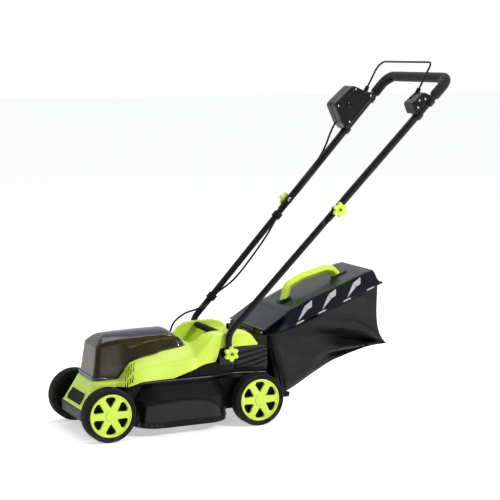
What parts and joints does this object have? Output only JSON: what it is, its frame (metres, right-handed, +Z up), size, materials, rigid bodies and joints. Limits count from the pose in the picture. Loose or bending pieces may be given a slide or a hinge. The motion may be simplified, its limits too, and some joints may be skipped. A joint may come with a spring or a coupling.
{
  "type": "push lawn mower",
  "caption": "Cordless push mower: lime cowl with smoked battery cover over a black deck, spoked wheels, folding tube handle with foam grip and bail, rear fabric grass box.",
  "frame": {"origin": "on the ground under the middle of the machine's bounding box", "axes": "+X from the nose to the grip, +Y to the right of whoever pushes it, +Z up"},
  "size_m": [1.1471, 0.3742, 1.0274],
  "materials": {
    "lime_plastic": "satin moulded polypropylene",
    "black_plastic": "fine-textured moulded plastic",
    "tyre_plastic": "ribbed hard plastic tyre",
    "smoked_cover": "smoked translucent polycarbonate",
    "painted_tube": "black powder coat",
    "bare_steel": "zinc plated",
    "grip_foam": "closed-cell foam",
    "cable_rubber": "smooth cable sheath",
    "bag_fabric": "coated polyester mesh",
    "red_plastic": "key moulding",
    "circuit_board": "lacquered board"
  },
  "bodies": {
    "deck": {"deck_shell": "black_plastic", "cowl": "lime_plastic", "nose_badge": "black_plastic", "battery_tray": "black_plastic", "motor_housing": "black_plastic", "rear_frame": "black_plastic", "carry_handle": "black_plastic", "handle_bracket_left": "black_plastic", "handle_bracket_right": "black_plastic", "pivot_bolt_left": "bare_steel", "pivot_bolt_right": "bare_steel", "flap_pin": "bare_steel", "cable_lower": "cable_rubber", "cover_hinge_pin": "bare_steel", "control_board": "circuit_board"},
    "battery": {"battery_pack": "black_plastic"},
    "key": {"safety_key": "red_plastic"},
    "cover": {"battery_cover": "smoked_cover"},
    "front_axle": {"front_axle": "painted_tube"},
    "rear_axle": {"rear_axle": "painted_tube", "lever_knob": "black_plastic"},
    "link": {"link_rod": "painted_tube"},
    "wheel_fl": {"wheel_front_left": "tyre_plastic", "wheel_cover_front_left": "lime_plastic"},
    "wheel_fr": {"wheel_front_right": "tyre_plastic", "wheel_cover_front_right": "lime_plastic"},
    "wheel_rl": {"wheel_rear_left": "tyre_plastic", "wheel_cover_rear_left": "lime_plastic"},
    "wheel_rr": {"wheel_rear_right": "tyre_plastic", "wheel_cover_rear_right": "lime_plastic"},
    "rotor": {"motor_shaft": "bare_steel", "blade": "bare_steel", "blade_bolt": "bare_steel"},
    "flap": {"discharge_flap": "black_plastic"},
    "grass_box": {"box_lid": "black_plastic", "box_bag": "bag_fabric", "box_front_frame": "black_plastic", "box_handle": "lime_plastic"},
    "lower_handle": {"lower_tube_left": "painted_tube", "lower_tube_right": "painted_tube", "joint_bolt_left": "bare_steel", "joint_bolt_right": "bare_steel", "cable_middle": "cable_rubber", "cable_clip_lower": "black_plastic", "cable_clip_upper": "black_plastic"},
    "upper_handle": {"upper_tube": "painted_tube", "grip_foam": "grip_foam", "switch_box_inner": "black_plastic", "switch_box_outer": "black_plastic", "bail_bracket": "black_plastic", "cable_upper": "cable_rubber"},
    "bail": {"bail_wire": "painted_tube", "bail_sleeve_left": "black_plastic", "bail_sleeve_right": "black_plastic"},
    "button": {"safety_button": "lime_plastic"},
    "pivot_knob_l": {"pivot_knob_left": "lime_plastic"},
    "pivot_knob_r": {"pivot_knob_right": "lime_plastic"},
    "joint_knob_l": {"joint_knob_left": "lime_plastic"},
    "joint_knob_r": {"joint_knob_right": "lime_plastic"}
  },
  "joints": [
    {"name": "height_front", "type": "hinge", "parent": "deck", "child": "front_axle", "pos_m": [-0.4684, 0, 0.0608], "axis": [0, -1, 0], "range_deg": [0, 50]},
    {"name": "height_rear", "type": "hinge", "parent": "deck", "child": "rear_axle", "pos_m": [-0.0194, 0, 0.0608], "axis": [0, -1, 0], "range_deg": [0, 50]},
    {"name": "link_swing", "type": "hinge", "parent": "front_axle", "child": "link", "pos_m": [-0.44726, -0.117, 0.10612], "axis": [0, -1, 0], "range_deg": [-50, 0]},
    {"name": "spin_front_left", "type": "hinge", "parent": "front_axle", "child": "wheel_fl", "pos_m": [-0.4988, -0.143, 0.075], "axis": [0, 1, 0], "continuous": true},
    {"name": "spin_front_right", "type": "hinge", "parent": "front_axle", "child": "wheel_fr", "pos_m": [-0.4988, 0.143, 0.075], "axis": [0, 1, 0], "continuous": true},
    {"name": "spin_rear_left", "type": "hinge", "parent": "rear_axle", "child": "wheel_rl", "pos_m": [-0.0498, -0.143, 0.075], "axis": [0, 1, 0], "continuous": true},
    {"name": "spin_rear_right", "type": "hinge", "parent": "rear_axle", "child": "wheel_rr", "pos_m": [-0.0498, 0.143, 0.075], "axis": [0, 1, 0], "continuous": true},
    {"name": "rotor_spin", "type": "hinge", "parent": "deck", "child": "rotor", "pos_m": [-0.2738, 0, 0.06], "axis": [0, 0, 1], "continuous": true},
    {"name": "cover_open", "type": "hinge", "parent": "deck", "child": "cover", "pos_m": [-0.2348, 0, 0.237], "axis": [0, 1, 0], "range_deg": [0, 80]},
    {"name": "battery_lift", "type": "slide", "parent": "deck", "child": "battery", "axis": [0, 0, 1], "range_m": [0, 0.012]},
    {"name": "key_pull", "type": "slide", "parent": "deck", "child": "key", "axis": [0, 0, 1], "range_m": [0, 0.035]},
    {"name": "flap_lift", "type": "hinge", "parent": "deck", "child": "flap", "pos_m": [-0.0178, 0, 0.257], "axis": [0, -1, 0], "range_deg": [0, 45], "stiffness_Nm_per_rad": 0.4, "springref_deg": -34.38},
    {"name": "box_lift", "type": "slide", "parent": "deck", "child": "grass_box", "axis": [0.8436, 0, 0.537], "range_m": [0, 0.25]},
    {"name": "lower_fold", "type": "hinge", "parent": "deck", "child": "lower_handle", "pos_m": [-0.1328, 0, 0.212], "axis": [0, -1, 0], "range_deg": [0, 75], "deforming": ["cable_lower"]},
    {"name": "upper_fold", "type": "hinge", "parent": "lower_handle", "child": "upper_handle", "pos_m": [0.1972, 0, 0.607], "axis": [0, -1, 0], "range_deg": [0, 120], "deforming": ["cable_upper"]},
    {"name": "bail_squeeze", "type": "hinge", "parent": "upper_handle", "child": "bail", "pos_m": [0.45485, 0, 0.92132], "axis": [0, 1, 0], "range_deg": [0, 22], "stiffness_Nm_per_rad": 0.6, "springref_deg": -34.38},
    {"name": "button_press", "type": "slide", "parent": "upper_handle", "child": "button", "axis": [0, 1, 0], "range_m": [0, 0.004], "stiffness_N_per_m": 400, "springref_m": -0.002},
    {"name": "pivot_knob_left_turn", "type": "hinge", "parent": "deck", "child": "pivot_knob_l", "pos_m": [-0.1328, -0.14, 0.212], "axis": [0, 1, 0], "continuous": true},
    {"name": "pivot_knob_right_turn", "type": "hinge", "parent": "deck", "child": "pivot_knob_r", "pos_m": [-0.1328, 0.14, 0.212], "axis": [0, 1, 0], "continuous": true},
    {"name": "joint_knob_left_turn", "type": "hinge", "parent": "lower_handle", "child": "joint_knob_l", "pos_m": [0.1972, -0.165, 0.607], "axis": [0, 1, 0], "continuous": true},
    {"name": "joint_knob_right_turn", "type": "hinge", "parent": "lower_handle", "child": "joint_knob_r", "pos_m": [0.1972, 0.165, 0.607], "axis": [0, 1, 0], "continuous": true}
  ],
  "couplings": [
    {"joint": "height_rear", "follows": "height_front", "ratio": 1},
    {"joint": "link_swing", "follows": "height_front", "ratio": -1}
  ]
}
